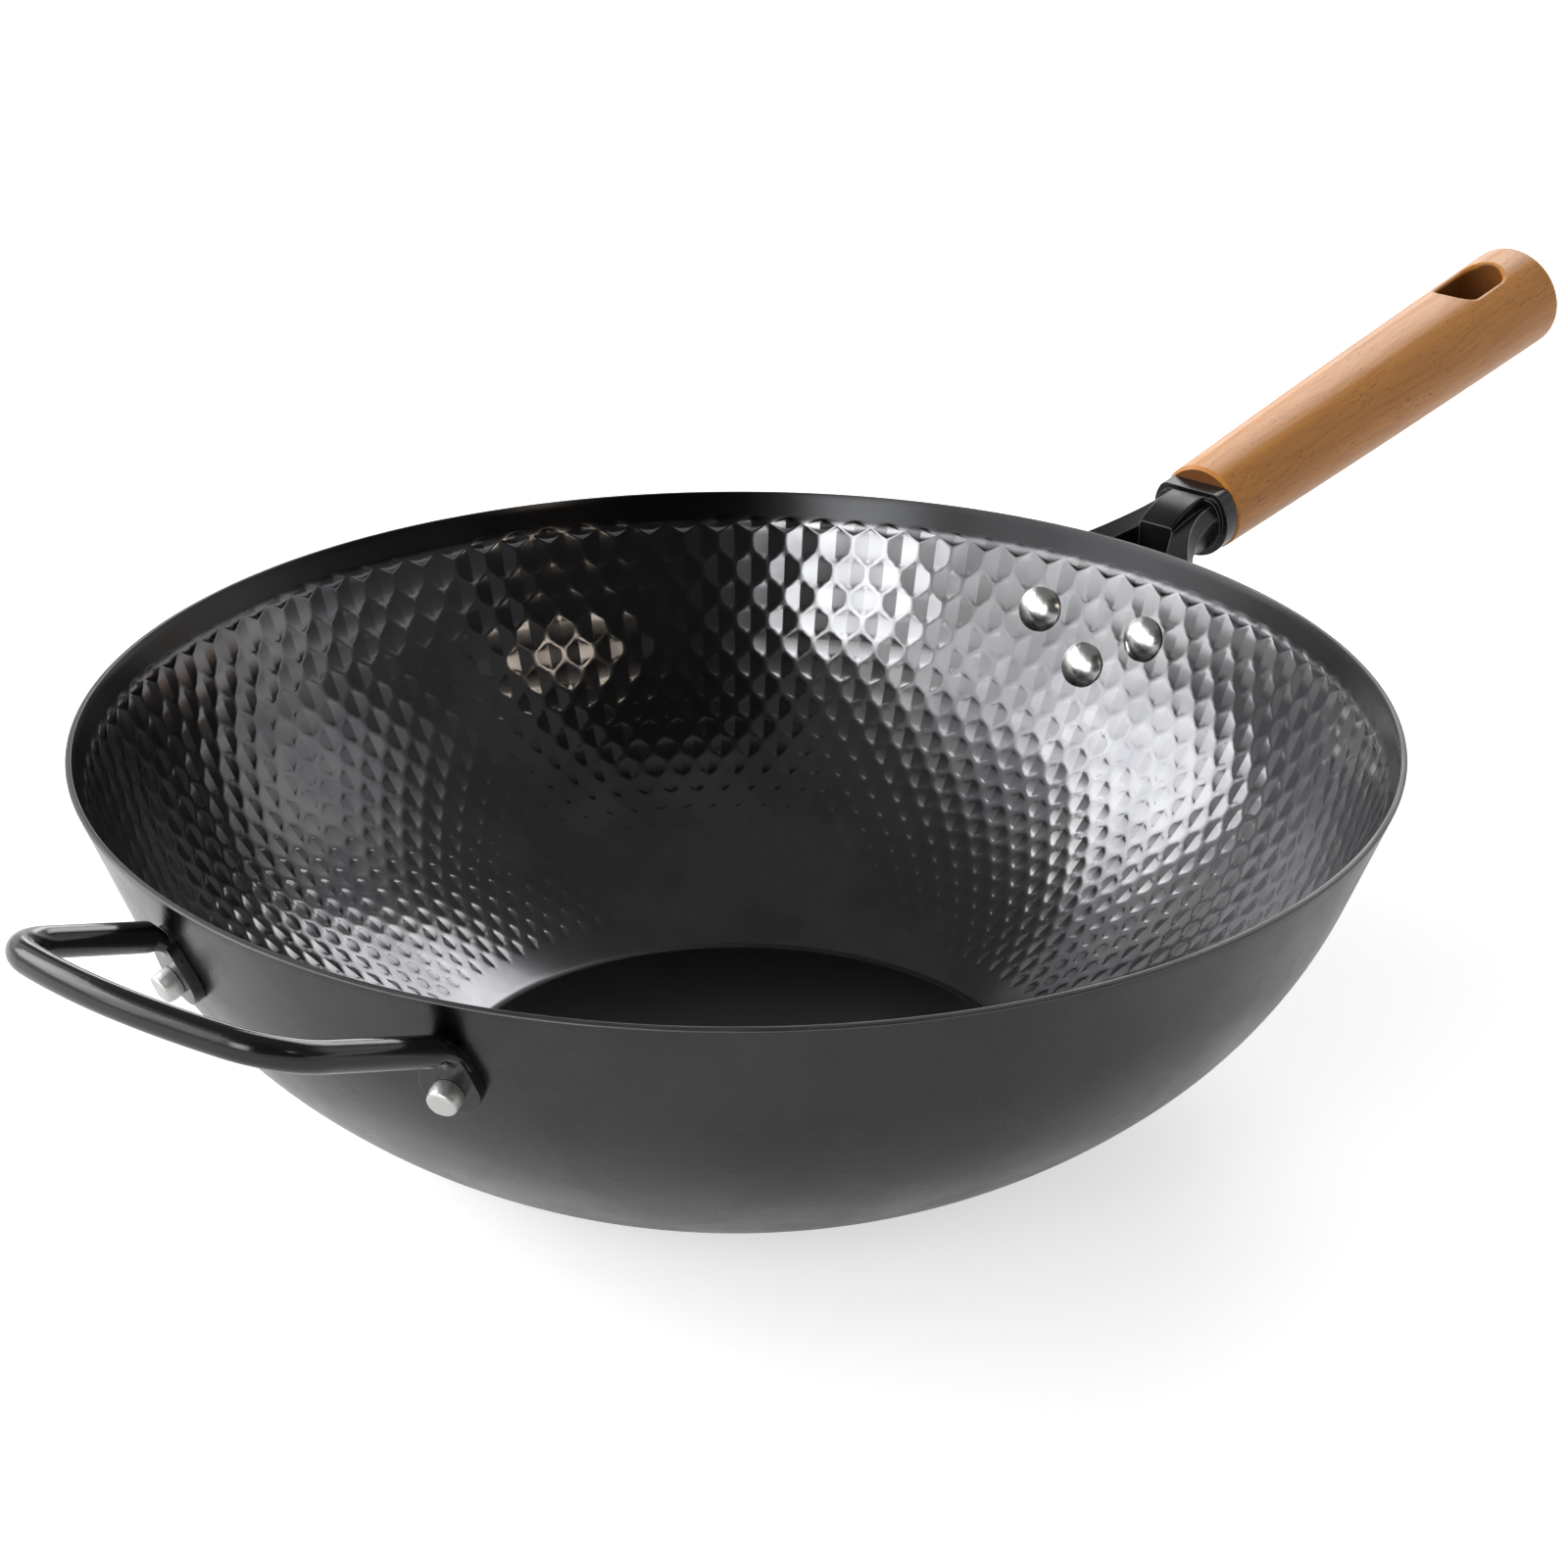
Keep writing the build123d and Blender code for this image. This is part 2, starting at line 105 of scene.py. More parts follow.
def wall_section(along, outset):
    """Radius, height and slope on a face of the wall, at distances down that face from the rim."""
    along = np.asarray(along, float)
    straight = np.minimum(along, lip_length)
    radius = rim_radius + outset * sin(lip_slope) - straight * cos(lip_slope)
    height = rim_height - outset * cos(lip_slope) - straight * sin(lip_slope)
    slope = np.full_like(along, lip_slope)
    left = along - straight
    for arc in wall_arcs:
        bend = arc["radius"] + outset
        lower = slope - np.clip(left / bend, 0, arc["upper_slope"] - arc["lower_slope"])
        radius = radius - bend * (np.sin(slope) - np.sin(lower))
        height = height - bend * (np.cos(lower) - np.cos(slope))
        left = left - bend * (slope - lower)
        slope = lower
    return radius - left, height, slope


def wall_length(outset):
    """Distance down a face of the wall from the rim to the edge of the flat base."""
    bends = [
        (arc["radius"] + outset) * (arc["upper_slope"] - arc["lower_slope"]) for arc in wall_arcs
    ]
    return lip_length + sum(bends)


def wall_points(azimuth, along, outset, lift):
    """Points on a face of the wall, raised by the lift towards the inside of the bowl."""
    radius, height, slope = wall_section(along, outset)
    radius = radius - lift * np.sin(slope)
    height = height + lift * np.cos(slope)
    return np.stack([radius * np.cos(azimuth), radius * np.sin(azimuth), height], axis=-1)


def ring_quads(ring_count, size):
    """Quads between closed rings that follow each other and have the same number of points."""
    here = np.arange(size)
    there = np.roll(here, -1)
    first = np.stack([here, there, there + size, here + size], -1)
    return np.concatenate([first + ring * size for ring in range(ring_count - 1)])


class Skin:
    """Points and faces of one mesh, gathered piece by piece and then joined at the seams."""

    def __init__(self):
        self.points = []
        self.faces = []
        self.finishes = []
        self.count = 0

    def add(self, points, faces, finish):
        """Add points and the faces between them, which all have one finish."""
        self.points.append(np.reshape(points, (-1, 3)))
        self.faces.append(np.asarray(faces) + self.count)
        self.finishes.append(finish)
        self.count += len(self.points[-1])

    def add_rings(self, rings, finish):
        """Add closed rings of points and the strips of faces between them."""
        self.add(np.concatenate(rings), ring_quads(len(rings), len(rings[0])), finish)

    def build(self, name, finishes):
        """Join what was added to one object and give it the materials of its finishes."""
        mesh = bpy.data.meshes.new(name)
        faces = [face for block in self.faces for face in block.tolist()]
        mesh.from_pydata(np.concatenate(self.points).tolist(), [], faces)
        slots = [[index] * len(block) for index, block in zip(self.finishes, self.faces)]
        mesh.polygons.foreach_set("material_index", np.concatenate(slots))
        joined = bmesh.new()
        joined.from_mesh(mesh)
        bmesh.ops.remove_doubles(joined, verts=joined.verts, dist=weld_distance)
        bmesh.ops.recalc_face_normals(joined, faces=joined.faces)
        joined.to_mesh(mesh)
        joined.free()
        mesh.shade_smooth()
        for finish in finishes:
            mesh.materials.append(finish)
        piece = bpy.data.objects.new(name, mesh)
        bpy.context.scene.collection.objects.link(piece)
        return piece


def cell_rows():
    """Rows of cells from the rim down, each with the distances of its corners along the wall."""
    pitches = [
        last_pitch + (first_pitch - last_pitch) * pitch_shrink_share ** row
        for row in range(-1, full_rows)
    ]
    centres = [first_centre + sum(pitches[1:row]) for row in range(1, full_rows + 1)]
    middles = [centres[0] - pitches[0] / 2]
    middles += [centre + pitch / 2 for centre, pitch in zip(centres, pitches[1:])]
    reaches = [pitch * slant_share / 2 for pitch in pitches]
    seams = [(middle - reach, middle + reach) for middle, reach in zip(middles, reaches)]
    rows = [{"tip": top_tip, "shoulder": seams[0][0], "hip": seams[0][0], "foot": seams[0][1]}]
    for above, below in zip(seams, seams[1:]):
        rows.append({"tip": above[0], "shoulder": above[1], "hip": below[0], "foot": below[1]})
    return rows


def cell_outline(row, half, inset, crowns):
    """Right side of one cell from its tip to its foot, set in from the lines between cells."""
    upper = (row["shoulder"] - row["tip"]) / half
    lower = (row["foot"] - row["hip"]) / half
    tip = row["tip"] + inset * sqrt(1 + upper * upper)
    foot = row["foot"] - inset * sqrt(1 + lower * lower)
    side = min(half - inset, (foot - tip) / (upper + lower))
    shoulder = tip + upper * side
    hip = foot - lower * side
    along = np.concatenate([
        np.linspace(tip, shoulder, steps_per_slant + 1),
        np.linspace(shoulder, hip, steps_per_side + 1)[1:],
        np.linspace(hip, foot, steps_per_slant + 1)[1:],
    ])
    straight = np.minimum(side, np.minimum((along - tip) / upper, (foot - along) / lower))
    away = (along - (tip + foot) / 2) / (foot - tip) * 2
    rounded = side * (1 - np.where(away < 0, crowns[0], crowns[1]) * away * away)
    return np.minimum(straight, rounded), along


def half_cell(row):
    """Half the width of a row's cells."""
    middle = (row["shoulder"] + row["hip"]) / 2
    return float(wall_section(middle, -sheet)[0]) * pi / cells_around


def make_cell(row, crowns, land_share, rise, drops, hipped_share, seam_lifts):
    """Points of one cell as distance across, distance down the wall and height, with its faces."""
    half = half_cell(row)
    land = land_share * 2 * half
    land_right, land_along = cell_outline(row, half, land, crowns)
    tip, foot = land_along[0], land_along[-1]
    hair = 1e-6
    thinnest = 1e-9

    def roof(across, along):
        away = (2 * along - tip - foot) / (foot - tip)
        drop = np.where(away < 0, *drops) * away * away
        width = np.maximum(thinnest, np.interp(along, land_along, land_right))
        flat = np.maximum(0, 1 - np.abs(across) / half - drop)
        hipped = (1 - drop) * np.maximum(0, 1 - np.abs(across) / width)
        return rise * (flat + hipped_share * (hipped - flat))

    rings = []
    outlines = [(0, (0, 0))] + [(land + share * 2 * half, crowns) for share in roof_ring_shares]
    for inset, rounding in outlines:
        right, along = cell_outline(row, half, inset, rounding)
        across = np.concatenate([right, -right[-2:0:-1]])
        along = np.concatenate([along, along[-2:0:-1]])
        if inset:
            height = roof(across, along)
        else:
            height = np.where(along < row["shoulder"] + hair, seam_lifts[0], 0)
            height = np.where(along > row["hip"] - hair, seam_lifts[1], height)
        rings.append(np.stack([across, along, height], -1))
    size = len(rings[0])
    last = size // 2
    crest_along = rings[-1][1:last, 1]
    crest_half = np.minimum(crest_share * 2 * half, np.abs(rings[-1][1:last, 0]) / 2)
    crest = np.stack([0 * crest_half, crest_along, roof(crest_half / 2, crest_along)], -1)
    right = np.stack([crest_half, crest_along, roof(crest_half, crest_along)], -1)
    left = np.stack([-crest_half, crest_along, roof(crest_half, crest_along)], -1)
    inner = (len(rings) - 1) * size
    start = len(rings) * size
    run = last - 1
    near_side = inner + 1 + np.arange(run)
    far_side = inner + size - 1 - np.arange(run)
    lines = [near_side] + [start + k * run + np.arange(run) for k in range(3)] + [far_side]
    strips = [
        np.stack([one[:-1], other[:-1], other[1:], one[1:]], -1)
        for one, other in zip(lines, lines[1:])
    ]
    ends = [
        (corner, one[end], other[end])
        for corner, end in ((inner, 0), (inner + last, -1))
        for one, other in zip(lines, lines[1:])
    ]
    points = np.concatenate(rings + [right, crest, left])
    quads = np.concatenate([ring_quads(len(rings), size)] + strips)
    return points, quads, np.array(ends), half


def zigzag(near, far, turn):
    """Distances along the wall of a seam that runs to and fro between two circles."""
    place = np.arange(steps_around) / (2 * steps_per_slant) + turn
    swing = 2 * np.abs(place - np.round(place))
    return near + (far - near) * swing


step_azimuths = first_cell_azimuth + 2 * pi * np.arange(steps_around) / steps_around
cell_azimuths = first_cell_azimuth + 2 * pi * np.arange(cells_around) / cells_around


def circle(along, outset, lift=0.0):
    """Ring of points around a face of the wall, at one distance down it."""
    return wall_points(step_azimuths, np.full(steps_around, float(along)), outset, lift)


inner_face, outer_face, cut_edge = 0, 1, 2
rows = cell_rows()
skin = Skin()
depths = [index / full_rows for index in range(len(rows))]
rises = [
    (top_rise_share + (foot_rise_share - top_rise_share) * depth) * 2 * half_cell(row)
    for row, depth in zip(rows, depths)
]
hipped_shares = [min(1, hipped_at_rim + depth / hipped_all_at_depth) for depth in depths]
flat_rises = [rise * (1 - hipped) for rise, hipped in zip(rises, hipped_shares)]
neighbours = zip(flat_rises[1:], flat_rises[2:])
seam_lifts = [seam_lift_share * (one + other) / 2 for one, other in neighbours]
seam_lifts = [0, 0] + seam_lifts + [0]
for index, row in enumerate(rows):
    depth = depths[index]
    crowns = [top + (low - top) * depth for top, low in zip(top_crowns, foot_crowns)]
    land_share = top_land_share + (foot_land_share - top_land_share) * depth
    drops = crest_drops if index else start_crest_drops
    lifts = seam_lifts[index:index + 2]
    points, quads, triangles, half = make_cell(
        row, crowns, land_share, rises[index], drops, hipped_shares[index], lifts
    )
    turn = (index % 2) * pi / cells_around
    azimuths = cell_azimuths[:, None] + turn + points[None, :, 0] / half * pi / cells_around
    placed = wall_points(azimuths, points[None, :, 1] + 0 * azimuths, -sheet, points[None, :, 2])
    offsets = np.arange(cells_around)[:, None, None] * len(points)
    for shape in (quads, triangles):
        skin.add(placed, (shape[None] + offsets).reshape(-1, shape.shape[1]), inner_face)

rim_corners = [
    circle(rim_corner * (1 - sin(turn)), -sheet, -rim_corner * (1 - cos(turn)))
    for turn in rim_corner_turns
]
rim_corners += [
    circle(rim_corner * (1 - cos(turn)), 0, rim_corner * (1 - sin(turn)))
    for turn in rim_corner_turns
]
skin.add_rings(rim_corners, cut_edge)
top_seam = wall_points(step_azimuths, zigzag(rows[0]["tip"], rows[0]["shoulder"], 0), -sheet, 0)
band_places = [rim_corner] + [
    rim_band * step / rim_band_steps for step in range(1, rim_band_steps + 1)
]
skin.add_rings([circle(along, -sheet) for along in band_places] + [top_seam], inner_face)
foot = rows[-1]["foot"]
bottom_seam = wall_points(
    step_azimuths, zigzag(foot, rows[-1]["hip"], (full_rows % 2) / 2), -sheet, 0
)
inner_end = wall_length(-sheet)
knuckle_start = inner_end - (wall_arcs[-1]["radius"] - sheet) * wall_arcs[-1]["upper_slope"]
foot_rings = list(np.linspace(foot + foot_band_gap, knuckle_start, foot_band_rings))
foot_rings += list(np.linspace(knuckle_start, inner_end, knuckle_rings)[1:])
foot_rings += [inner_end + step for step in base_ring_steps]
skin.add_rings([bottom_seam] + [circle(along, -sheet) for along in foot_rings], inner_face)
outer_end = wall_length(0)
outer_rings = list(np.linspace(rim_corner, outer_end, outer_wall_rings))
outer_rings += [outer_end + step for step in base_ring_steps]
skin.add_rings([circle(along, 0) for along in outer_rings], outer_face)
skin.add(circle(foot_rings[-1], -sheet), [list(range(steps_around))], inner_face)
skin.add(circle(outer_rings[-1], 0), [list(range(steps_around))], outer_face)


def wall_place(azimuth, drop):
    """Place on the outer face: x along the rim, y up the wall, z straight out of the wall."""
    radius, height, slope = (float(value) for value in wall_section(drop, 0))
    outward = Vector((cos(azimuth), sin(azimuth), 0))
    side = Vector((-sin(azimuth), cos(azimuth), 0))
    normal = outward * sin(slope) - Vector((0, 0, cos(slope)))
    turn = Matrix((side, normal.cross(side), normal)).transposed()
    return Matrix.Translation(outward * radius + Vector((0, 0, height))) @ turn.to_4x4()


def side_azimuth(spacing, drop):
    """Turn from the handle's line to one of two places that stand a given way apart."""
    return atan2(spacing / 2, sqrt(float(wall_section(drop, 0)[0]) ** 2 - spacing * spacing / 4))


bracket_rivet_drop = 0.024
bracket_rivet_spacing = 0.035
lower_rivet_step = 0.012
helper_rivet_drop = 0.0255
helper_rivet_spacing = 0.0844
steel_hole_radius = 0.00275
soft_hole_radius = 0.00255
hole_sides = 32
punch_length = 8 * sheet
bracket_turn = side_azimuth(bracket_rivet_spacing, bracket_rivet_drop)
helper_turn = side_azimuth(helper_rivet_spacing, helper_rivet_drop)
punched_holes = (
    (bracket_turn, bracket_rivet_drop, steel_hole_radius),
    (-bracket_turn, bracket_rivet_drop, steel_hole_radius),
    (0, bracket_rivet_drop + lower_rivet_step, steel_hole_radius),
    (pi - helper_turn, helper_rivet_drop, soft_hole_radius),
    (pi + helper_turn, helper_rivet_drop, soft_hole_radius),
)


def punch(piece, holes):
    """Cut the rivet holes through the sheet."""
    punches = bmesh.new()
    for azimuth, drop, radius in holes:
        bmesh.ops.create_cone(
            punches, cap_ends=True, segments=hole_sides, radius1=radius, radius2=radius,
            depth=punch_length, matrix=wall_place(azimuth, drop),
        )
    mesh = bpy.data.meshes.new("punches")
    punches.to_mesh(mesh)
    punches.free()
    cutter = bpy.data.objects.new("punches", mesh)
    bpy.context.scene.collection.objects.link(cutter)
    cut = piece.modifiers.new("punch", "BOOLEAN")
    cut.operation = "DIFFERENCE"
    cut.solver = "MANIFOLD"
    cut.object = cutter
    graph = bpy.context.evaluated_depsgraph_get()
    solid = piece.data
    piece.data = bpy.data.meshes.new_from_object(piece.evaluated_get(graph))
    piece.modifiers.clear()
    bpy.data.meshes.remove(solid)
    bpy.data.meshes.remove(mesh)


def add_node(tree, kind, settings, inputs):
    """New shader node. Its inputs are given as plain values or as the sockets that feed them."""
    node = tree.nodes.new(kind)
    for name, value in settings.items():
        setattr(node, name, value)
    for name, value in inputs.items():
        if isinstance(value, bpy.types.NodeSocket):
            tree.links.new(value, node.inputs[name])
        else:
            node.inputs[name].default_value = value
    return node


def work_out(tree, operation, *values):
    """Result of a sum on sockets or numbers."""
    inputs = dict(enumerate(values))
    return add_node(tree, "ShaderNodeMath", {"operation": operation}, inputs).outputs[0]


def spread(tree, value, low, high, from_low=0.0, from_high=1.0):
    """Value taken smoothly from one range to another and held at both ends."""
    settings = {"interpolation_type": "SMOOTHSTEP"}
    inputs = {
        "Value": value, "From Min": from_low, "From Max": from_high, "To Min": low, "To Max": high,
    }
    return add_node(tree, "ShaderNodeMapRange", settings, inputs).outputs["Result"]


def mask(tree, value, start, end):
    """Share that grows smoothly from 0 to 1 while a value goes from its start to its end."""
    return spread(tree, value, 0.0, 1.0, start, end)


def vary(tree, noise_value, low, high):
    """Value that wanders between two bounds with a noise, which keeps to the middle of 0 to 1."""
    return spread(tree, noise_value, low, high, 0.3, 0.7)


def blend_colours(tree, share, first, second):
    """Colour between two others, which are sockets or triples."""
    first, second = [
        (*value, 1) if isinstance(value, tuple) else value for value in (first, second)
    ]
    node = add_node(tree, "ShaderNodeMix", {"data_type": "RGBA"}, {0: share, 6: first, 7: second})
    return node.outputs[2]


def split(tree, vector):
    """The three parts of a vector."""
    return add_node(tree, "ShaderNodeSeparateXYZ", {}, {0: vector}).outputs


def length(tree, one, other):
    """Length of the slanted side of a right-angled triangle."""
    squares = [work_out(tree, "MULTIPLY", value, value) for value in (one, other)]
    return work_out(tree, "SQRT", work_out(tree, "ADD", *squares))


def place_in(tree, output="Object"):
    """Coordinates of the shaded point, in metres unless another output is named."""
    return tree.nodes.new("ShaderNodeTexCoord").outputs[output]


def new_group(name, inputs, outputs):
    """Empty node group with named inputs, each with its usual value, and named outputs."""
    tree = bpy.data.node_groups.new(name, "ShaderNodeTree")
    for label, usual in inputs.items():
        socket = tree.interface.new_socket(label, in_out="INPUT", socket_type="NodeSocketFloat")
        socket.default_value = usual
    for label, kind in outputs.items():
        tree.interface.new_socket(label, in_out="OUTPUT", socket_type=kind)
    return tree, tree.nodes.new("NodeGroupInput"), tree.nodes.new("NodeGroupOutput")


def use_group(tree, group, inputs):
    """Place a group in a material with its own values."""
    return add_node(tree, "ShaderNodeGroup", {"node_tree": group}, inputs)


grain_group, given, result = new_group(
    "grain", {"Size": 0.001, "Detail": 3.0}, {"Grain": "NodeSocketFloat"}
)
grain = add_node(grain_group, "ShaderNodeTexNoise", {}, {
    "Vector": place_in(grain_group),
    "Scale": work_out(grain_group, "DIVIDE", 1.0, given.outputs["Size"]),
    "Detail": given.outputs["Detail"],
    "Roughness": 0.6,
})
grain_group.links.new(grain.outputs[0], result.inputs["Grain"])


def use_grain(tree, size, detail):
    """Noise of a size in metres, from 0 to 1."""
    return use_group(tree, grain_group, {"Size": size, "Detail": detail}).outputs[0]


lines_group, given, result = new_group(
    "turned_lines", {"Spacing": 0.0004, "Breaks Around": 12.0}, {"Lines": "NodeSocketFloat"}
)
across_x, across_y, upward = split(lines_group, place_in(lines_group))
from_axis = length(lines_group, across_x, across_y)
per_turn = work_out(lines_group, "DIVIDE", given.outputs["Breaks Around"], from_axis)
on_turn = add_node(lines_group, "ShaderNodeCombineXYZ", {}, {
    0: work_out(lines_group, "MULTIPLY", across_x, per_turn),
    1: work_out(lines_group, "MULTIPLY", across_y, per_turn),
    2: work_out(
        lines_group, "DIVIDE",
        work_out(lines_group, "ADD", from_axis, upward), given.outputs["Spacing"],
    ),
})
strokes = add_node(lines_group, "ShaderNodeTexNoise", {}, {
    "Vector": on_turn.outputs[0], "Scale": 1.0, "Detail": 2.0, "Roughness": 0.6,
})
lines_group.links.new(strokes.outputs[0], result.inputs["Lines"])


def use_lines(tree, spacing, breaks_around):
    """Turned lines that run around the bowl, from 0 to 1."""
    inputs = {"Spacing": spacing, "Breaks Around": breaks_around}
    return use_group(tree, lines_group, inputs).outputs[0]


def new_material(name, colour, metallic, roughness):
    """Plain material, its node tree and its shader."""
    material = bpy.data.materials.new(name)
    material.use_nodes = True
    shader = material.node_tree.nodes["Principled BSDF"]
    shader.inputs["Base Color"].default_value = (*colour, 1)
    shader.inputs["Metallic"].default_value = metallic
    shader.inputs["Roughness"].default_value = roughness
    return material, material.node_tree, shader


def feed(tree, shader, **sources):
    """Link sockets to the shader's inputs. An underscore in a name stands for a space."""
    for name, source in sources.items():
        tree.links.new(source, shader.inputs[name.replace("_", " ")])


def relief(tree, height, depth, under=None):
    """Normal of a surface with this height, from 0 to 1, over a depth in metres.

    The relief may lie on another normal, which is given as the one under it.
    """
    inputs = {"Height": height, "Distance": depth, "Strength": 1.0}
    if under is not None:
        inputs["Normal"] = under
    return add_node(tree, "ShaderNodeBump", {}, inputs).outputs[0]


inside_colour = (0.148, 0.149, 0.153)
inside_stain = (0.118, 0.119, 0.126)
outside_colour = (0.062, 0.0625, 0.064)
outside_stain = (0.055, 0.0555, 0.0575)
band_colour = (0.031, 0.0315, 0.0325)
disc_colour = (0.024, 0.0243, 0.025)
edge_colour = (0.11, 0.11, 0.113)

band_drop = 0.0008
band_blur = 0.0006
disc_blur = 0.0004
line_strength = 0.25
extra_on_band = 1.75
stipple_strength = 0.45
rougher_on_band = 0.05
rougher_on_disc = 0.15
speck_strength = 0.6
inside_relief = 0.000008

steel_inside, tree, shader = new_material(
    "steel_inside", inside_colour, metallic=1.0, roughness=0.16
)
patches = use_grain(tree, size=0.03, detail=3.0)
stipple = use_grain(tree, size=0.0005, detail=2.0)
lines = use_lines(tree, spacing=0.00035, breaks_around=14.0)
height = split(tree, place_in(tree))[2]
band_foot = rim_height - rim_band * sin(lip_slope) - band_drop
on_band = mask(tree, height, band_foot - band_blur, band_foot + band_blur)
disc_top = sheet + wall_arcs[-1]["radius"] * (1 - cos(wall_arcs[-1]["upper_slope"]))
on_disc = spread(tree, height, 1.0, 0.0, disc_top - disc_blur, disc_top)
line_share = work_out(tree, "MULTIPLY_ADD", on_band, extra_on_band, line_strength)
turned = work_out(tree, "MULTIPLY", lines, line_share)
surface = work_out(tree, "MULTIPLY_ADD", stipple, stipple_strength, turned)
rough = vary(tree, patches, low=0.135, high=0.175)
rough = work_out(tree, "MULTIPLY_ADD", on_band, rougher_on_band, rough)
stained = blend_colours(
    tree, mask(tree, patches, start=0.42, end=0.62), inside_colour, inside_stain
)
colour = blend_colours(tree, on_band, stained, band_colour)
feed(
    tree, shader,
    Base_Color=blend_colours(tree, on_disc, colour, disc_colour),
    Roughness=work_out(tree, "MULTIPLY_ADD", on_disc, rougher_on_disc, rough),
    Normal=relief(tree, surface, inside_relief),
)

steel_outside, tree, shader = new_material(
    "steel_outside", outside_colour, metallic=1.0, roughness=0.27
)
patches = use_grain(tree, size=0.022, detail=5.0)
specks = use_grain(tree, size=0.0009, detail=3.0)
lines = use_lines(tree, spacing=0.00045, breaks_around=16.0)
stains = mask(tree, patches, start=0.40, end=0.66)
surface = work_out(tree, "MULTIPLY_ADD", specks, speck_strength, lines)
feed(
    tree, shader,
    Base_Color=blend_colours(tree, stains, outside_colour, outside_stain),
    Roughness=vary(tree, patches, low=0.24, high=0.31),
    Normal=relief(tree, surface, depth=0.000006),
)

steel_edge, tree, shader = new_material("steel_edge", edge_colour, metallic=1.0, roughness=0.3)
lines = use_lines(tree, spacing=0.0002, breaks_around=10.0)
feed(
    tree, shader,
    Roughness=vary(tree, lines, low=0.34, high=0.5),
    Normal=relief(tree, lines, depth=0.000006),
)

bowl = skin.build("bowl_steel", [steel_inside, steel_outside, steel_edge])
punch(bowl, punched_holes)
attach(bowl, "root")
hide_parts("bowl")


# Bracket: an iron casting, painted semi-matt black. The sand of the mould shows as a fine grain.
# Its edges are painted lighter, partly as worn paint and partly as a painted highlight along
# them. Three rivets hold its plate on the wall.
def finish_node(name, material):
    """Give a node of the frame its material."""
    for slot in nodes[name].material_slots:
        slot.material = material


# Edge mask from how far the rounded-edge normal turns, broken up by chips. Materials lighten their
# edges with it, for wear and for a painted highlight along the edges.
edge_wear_and_highlight_group, given, result = new_group(
    "worn_and_highlit_edges", {"Width": 0.0006, "Start": 0.02, "End": 0.2},
    {"Wear And Highlight": "NodeSocketFloat", "Normal": "NodeSocketVector"},
)
softened = add_node(edge_wear_and_highlight_group, "ShaderNodeBevel", {"samples": 8}, {
    "Radius": given.outputs["Width"],
})
facing = add_node(edge_wear_and_highlight_group, "ShaderNodeVectorMath", {"operation": "DOT_PRODUCT"}, {
    0: softened.outputs[0],
    1: edge_wear_and_highlight_group.nodes.new("ShaderNodeNewGeometry").outputs["Normal"],
})
chip_scale = 900.0
chip_swing = 1.4
chip_least = 0.3
chips = add_node(edge_wear_and_highlight_group, "ShaderNodeTexNoise", {}, {
    "Vector": place_in(edge_wear_and_highlight_group), "Scale": chip_scale, "Detail": 3.0,
})
bent = work_out(edge_wear_and_highlight_group, "SUBTRACT", 1.0, facing.outputs["Value"])
chipped = work_out(edge_wear_and_highlight_group, "MULTIPLY_ADD", chips.outputs[0], chip_swing, chip_least)
ragged = work_out(edge_wear_and_highlight_group, "MULTIPLY", bent, chipped)
wear_and_highlight = add_node(edge_wear_and_highlight_group, "ShaderNodeMapRange", {}, {
    "Value": ragged, "From Min": given.outputs["Start"], "From Max": given.outputs["End"],
})
edge_wear_and_highlight_group.links.new(wear_and_highlight.outputs["Result"], result.inputs["Wear And Highlight"])
edge_wear_and_highlight_group.links.new(softened.outputs[0], result.inputs["Normal"])


def use_edges(tree, width, start, end):
    """Edge mask, for wear and a painted highlight, and the normal with edges rounded to this width.
    """
    edges = use_group(tree, edge_wear_and_highlight_group, {"Width": width, "Start": start, "End": end})
    return edges.outputs["Wear And Highlight"], edges.outputs["Normal"]


# The light grey on the casting's edges stands for worn paint and for a painted highlight.
cast_black = (0.005, 0.005, 0.0053)
cast_wear_and_highlight = (0.25, 0.25, 0.25)
black_casting, tree, shader = new_material("black_casting", cast_black, metallic=0.0, roughness=0.4)
sand = use_grain(tree, size=0.0006, detail=4.0)
patches = use_grain(tree, size=0.008, detail=3.0)
wear_and_highlight, rounded = use_edges(tree, width=0.0005, start=0.015, end=0.16)
feed(
    tree, shader,
    Base_Color=blend_colours(tree, wear_and_highlight, cast_black, cast_wear_and_highlight),
    Roughness=vary(tree, patches, low=0.28, high=0.38),
    Normal=relief(tree, sand, depth=0.00002, under=rounded),
)
shader.inputs["Specular IOR Level"].default_value = 0.4
finish_node("handle_bracket", black_casting)

# Bracket rivets: three polished steel rivets in a triangle, two above and one below. Their domed
# heads show inside the bowl, and their tails are hammered flat behind the bracket's plate.
rivet_colour = (0.84, 0.83, 0.81)
polished_rivet, tree, shader = new_material(
    "polished_rivet", rivet_colour, metallic=1.0, roughness=0.12
)
scuffs = use_grain(tree, size=0.0012, detail=5.0)
fine = use_grain(tree, size=0.0003, detail=2.0)
feed(
    tree, shader,
    Roughness=spread(tree, scuffs, low=0.20, high=0.27, from_low=0.35, from_high=0.7),
    Normal=relief(tree, fine, depth=0.0000012),
)
for name in ("bracket_rivet_left", "bracket_rivet_right", "bracket_rivet_lower"):
    finish_node(name, polished_rivet)

# Ferrule: a stepped collar of hard black plastic with a flat top, moulded in one piece. The tie
# rod clamps it between the bracket's end and the front of the wood.
collar_black = (0.006, 0.006, 0.0065)
